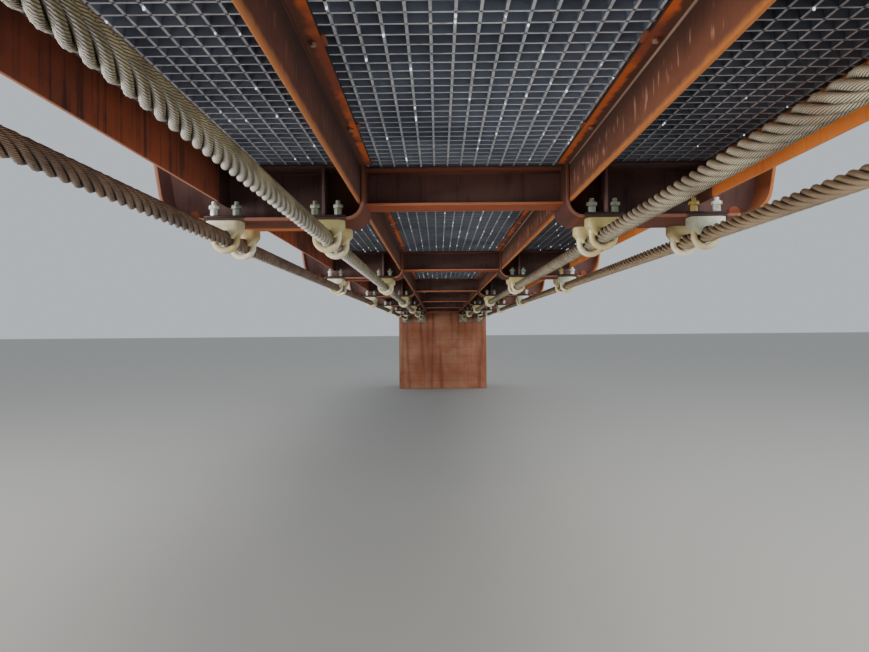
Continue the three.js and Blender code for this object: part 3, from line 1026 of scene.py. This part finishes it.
def laid_rope(name):
    """Screws six circles along Y, each begun at its outermost point, then gives every strand a UV
    map: round it from that point, and along it in lays."""
    circles = []
    for i in range(strand_count):
        angle = 2 * math.pi * i / strand_count
        reach = rope_radius - strand_radius
        clear_selection()
        bpy.ops.mesh.primitive_circle_add(
            vertices=strand_sides, radius=strand_radius, rotation=(math.pi / 2, math.pi / 2 - angle, 0),
            location=(reach * math.cos(angle), 0, reach * math.sin(angle)),
        )
        circles.append(placed("strand"))
    strands = joined(name, circles)
    lays = (rope_end - rope_start) / lay_length
    steps = round(lays * steps_per_lay)
    apply_modifier(
        strands, "SCREW", axis="Y", angle=2 * math.pi * lays, screw_offset=rope_end - rope_start,
        steps=steps, render_steps=steps, iterations=1, use_merge_vertices=False, use_smooth_shade=True,
    )
    mesh = strands.data
    ring = strand_count * strand_sides
    uv = mesh.uv_layers.new(name="lay")
    for polygon in mesh.polygons:
        corners = [(mesh.loops[k].vertex_index, k) for k in polygon.loop_indices]
        sides = [v % ring % strand_sides for v, _ in corners]
        wraps = max(sides) - min(sides) > strand_sides / 2
        for (v, k), side in zip(corners, sides):
            turned_side = side + strand_sides if wraps and side < strand_sides / 2 else side
            uv.data[k].uv = (turned_side / strand_sides, v // ring / steps * lays)
    pick(strands)
    bpy.ops.object.mode_set(mode="EDIT")
    bpy.ops.mesh.select_all(action="DESELECT")
    bpy.ops.mesh.select_mode(type="EDGE")
    bpy.ops.mesh.select_non_manifold()
    bpy.ops.mesh.edge_face_add()
    select_whole()
    bpy.ops.mesh.normals_make_consistent(inside=False)
    bpy.ops.object.mode_set(mode="OBJECT")
    move(strands, 0, rope_start, rope_z)
    return strands


# The last number of each is the share of painted highlight on the side facing down and to the left.
rope_tones = {
    "inner_rope_left": ((170, 156, 116), (104, 92, 66), (98, 80, 46), 1.0),
    "inner_rope_right": ((174, 164, 138), (112, 102, 84), (126, 96, 66), 0.1),
    "outer_rope_left": ((162, 126, 100), (108, 82, 64), (72, 54, 42), 0.25),
    "outer_rope_right": ((190, 162, 126), (136, 112, 84), (160, 124, 76), 0.1),
}
rope_model = laid_rope("rope_model")
for node, tones in rope_tones.items():
    x = rope_places[1] if node.startswith("outer") else rope_places[0]
    x = x if node.endswith("right") else -x
    rope = copied(rope_model, node + "_strands", Matrix.Translation((x, 0, 0)))
    settled(painted(rope, rope_finish(node + "_wire", *tones)), "wire_rope", node)
discard(rope_model)


# Rope ends
# Each rope ends in a cone socket poured round its wires. A threaded rod runs from the socket through
# a square bearing plate, and a nut holds it against the abutment's face.
plate_half, rod_nut_radius, rod_nut_height = 0.075, 0.036, 0.030


def rope_fittings():
    """Turned about Y for the far end, with the bearing plate's outer face at y = 0."""
    profile = [
        (0.0, -0.270), (0.0215, -0.270), (0.0255, -0.262), (0.0255, -0.250), (0.038, -0.140),
        (0.040, -0.134), (0.040, -0.112), (0.037, -0.108), (0.018, -0.108), (0.018, -0.048),
        (0.0, -0.048),
    ]
    piece = begin_line("socket", (profile[0][0], profile[0][1], 0))
    for (r0, y0), (r1, y1) in zip(profile, profile[1:]):
        extrude((r1 - r0, y1 - y0, 0))
    select_whole()
    sweep((0, 0, 0), 360, 24)
    close_mesh()
    bpy.ops.object.shade_smooth_by_angle(angle=math.radians(30))
    upright = Matrix.Rotation(-math.pi / 2, 4, "X")
    nut = turned("rod_nut", 6, rod_nut_radius, 0, rod_nut_height, 0.002)
    nut.data.transform(Matrix.Translation((0, -plate_thick - rod_nut_height, 0)) @ upright)
    bearing = block("bearing", (-plate_half, -plate_thick, -plate_half), (plate_half, 0, plate_half), 0.003)
    return joined("fittings", [piece, nut, bearing])


fitting_steel = galvanised("rope_fittings", (158, 158, 148), (116, 112, 100), (112, 72, 44))
fittings = painted(rope_fittings(), fitting_steel)
half_turn = Matrix.Rotation(math.pi, 4, "Z")
for end_name, y, turn in (("near", rope_low.y, half_turn), ("far", rope_high.y, Matrix.Identity(4))):
    copies = []
    for side in (-1, 1):
        for x in rope_places:
            at = Matrix.Translation((side * x, y, rope_z))
            copies.append(copied(fittings, "fittings_copy", at @ turn))
    settled(joined(f"rope_fittings_{end_name}", copies), "galvanised_steel")
discard(fittings)


# Balustrades
# A kerb plate, round infill wires, flat stiles and a tube rail lean out on the inner edges of the
# posts. Each wire ends in a swaged terminal at the last stile.
panel_bar, stile_width, kerb_height = 0.010, 0.050, 0.060
wire_radius = 0.004
wire_heights = [0.150 + 0.140 * i for i in range(6)]
terminal_radius, terminal_length, terminal_in = 0.0075, 0.070, 0.048
collar_radius, collar_height = 0.011, 0.0045
rail_radius, stile_rise = 0.025, 0.006
rail_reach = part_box("balustrade_right")[1].y
panel_lean = math.atan2(post_head_x - post_foot_x, post_height - deck_thickness)
panel_height = (post_height - deck_thickness) / math.cos(panel_lean)


def rod(name, sides, radius, length):
    """A round bar along Y about the origin."""
    return cylinder(name, sides, radius, length, rotation=(math.pi / 2, 0, 0))


def infill():
    """Built upright about X = 0, and leaned over at the end."""
    pieces = []
    for z in wire_heights:
        wire = rod("infill_wire", 10, wire_radius, 2 * rail_reach)
        bpy.ops.object.shade_smooth_by_angle(angle=math.radians(50))
        move(wire, -panel_bar / 2, 0, z)
        pieces.append(wire)
        for end in (-1, 1):
            ferrule = rod("terminal", 12, terminal_radius, terminal_length)
            round_edges(ferrule, 0.002)
            move(ferrule, -panel_bar / 2, end * (rail_reach - terminal_in), z)
            pieces.append(ferrule)
    return joined("infill", pieces)


def stiles():
    """A kerb from end to end, and at each post a flat stile with a collar round every wire."""
    pieces = [block("kerb", (-panel_bar, -rail_reach, 0), (0, rail_reach, kerb_height), 0.002)]
    for spot in frame_places:
        low = (-panel_bar, spot.y - stile_width / 2, 0)
        high = (0, spot.y + stile_width / 2, panel_height + stile_rise)
        pieces.append(block("stile", low, high, 0.002))
        for z in wire_heights:
            collar = turned("collar", 14, collar_radius, 0, collar_height, 0.001)
            turn = Matrix.Rotation(-math.pi / 2, 4, "Y")
            collar.data.transform(Matrix.Translation((-panel_bar + sunk, spot.y, z)) @ turn)
            pieces.append(collar)
    return joined("stiles", pieces)


kerb_foot = Matrix.Translation((post_foot_x - hair, 0, underside + deck_thickness))
lean_over = kerb_foot @ Matrix.Rotation(panel_lean, 4, "Y")
stainless = galvanised("balustrade_wire", (170, 172, 170), (134, 136, 134), (112, 92, 66))
rail_steel = galvanised("balustrade_rail", (156, 158, 156), (124, 126, 124), (104, 88, 66))
infill_model, stile_model = painted(infill(), stainless), painted(stiles(), rail_steel)
rail_model = painted(rod("rail", 24, rail_radius, 2 * rail_reach), rail_steel)
round_edges(rail_model, 0.004, 3)
move(rail_model, post_head_x + panel_bar / 2, 0, underside + post_height + hair + rail_radius)
for side_name, flip in (("left", mirror), ("right", Matrix.Identity(4))):
    wires = copied(infill_model, f"infill_wires_{side_name}", flip @ lean_over)
    settled(wires, "galvanised_steel", f"balustrade_{side_name}")
    settled(copied(stile_model, f"stiles_{side_name}", flip @ lean_over), "galvanised_steel")
    settled(copied(rail_model, f"handrail_{side_name}", flip), "galvanised_steel")
discard(infill_model, stile_model, rail_model)


# Abutments
# One mass of concrete at each end, cast against boards and stained ochre by the steel above. A nib
# at the top reaches out to meet the deck.
board_width = 0.15


def stained_concrete():
    """Concrete with ochre blotches, dark runs, pores and the lines between the boards."""
    finish = Finish("stained_concrete")
    cloud = finish.noise(1.6, 5.0).ramp(0.32, 0.68)
    blotch = finish.noise(5.5, 5.0).ramp(0.42, 0.68)
    runs = finish.noise(1.0, 3.0, stretch=(14, 14, 0.7)).ramp(0.48, 0.70)
    pores = finish.noise(90.0, 4.0)
    board = abs((finish.at("Z") * (math.pi / board_width)).sine())
    colour = finish.layered(
        (172, 122, 94),
        (cloud, (146, 92, 66)),
        (blotch * 0.6, (150, 82, 52)),
        (runs * 0.6, (108, 58, 40)),
        (board.ramp(0.0, 0.06, 0.6, 0.0), (72, 56, 44)),
    )
    relief = finish.bump(board.ramp(0.0, 0.05), 0.004, 0.6)
    relief = finish.bump(pores, 0.003, 0.5, relief)
    return finish.done(colour, 0.85 + cloud * 0.1, 0.0, relief)


concrete = stained_concrete()
for end_name in ("near", "far"):
    node = f"{end_name}_abutment"
    piece = cleaned_copy(node, node + "_cast")
    round_edges(piece, 0.010, 3)
    settled(painted(piece, concrete), "concrete", node)


# Stage
# A plain pale floor and soft light, stronger from the left, which also comes back up off the floor.
clear_selection()
bpy.ops.mesh.primitive_plane_add(size=400, location=(0, 0, 0))
floor = placed("floor")
painted(floor, Finish("floor_finish").done((176, 174, 168), 0.9))

world = bpy.data.worlds.new("soft_sky")
bpy.context.scene.world = world
world.use_nodes = True
sky = world.node_tree.nodes["Background"]
sky.inputs["Color"].default_value = (0.86, 0.92, 1.0, 1.0)
sky.inputs["Strength"].default_value = 0.65


def soft_light(name, at, towards, width, height, power, colour):
    """A wide lamp that shines from one place towards another, and doesn't show itself."""
    turn = (Vector(towards) - Vector(at)).to_track_quat("-Z", "Y").to_euler()
    bpy.ops.object.light_add(type="AREA", location=at, rotation=turn)
    lamp = bpy.context.object
    lamp.name = name
    lamp.data.shape = "RECTANGLE"
    lamp.data.size = width
    lamp.data.size_y = height
    lamp.data.energy = power
    lamp.data.color = colour
    lamp.visible_camera = False


lamp_out, lamp_y, lamp_z = 6.0, start_y - 0.5, 0.9
aim = (0, start_y + 1.5, 1.4)
soft_light("left_light", (-lamp_out, lamp_y, lamp_z), aim, 6.0, 2.0, 750, (1.0, 0.97, 0.92))
soft_light("right_light", (lamp_out, lamp_y, lamp_z), aim, 6.0, 2.0, 260, (0.90, 0.96, 1.0))
soft_light("top_light", (3.0, start_y - 2.0, 8.0), (0, 0, 1.5), 6.0, 6.0, 700, (1.0, 0.98, 0.95))
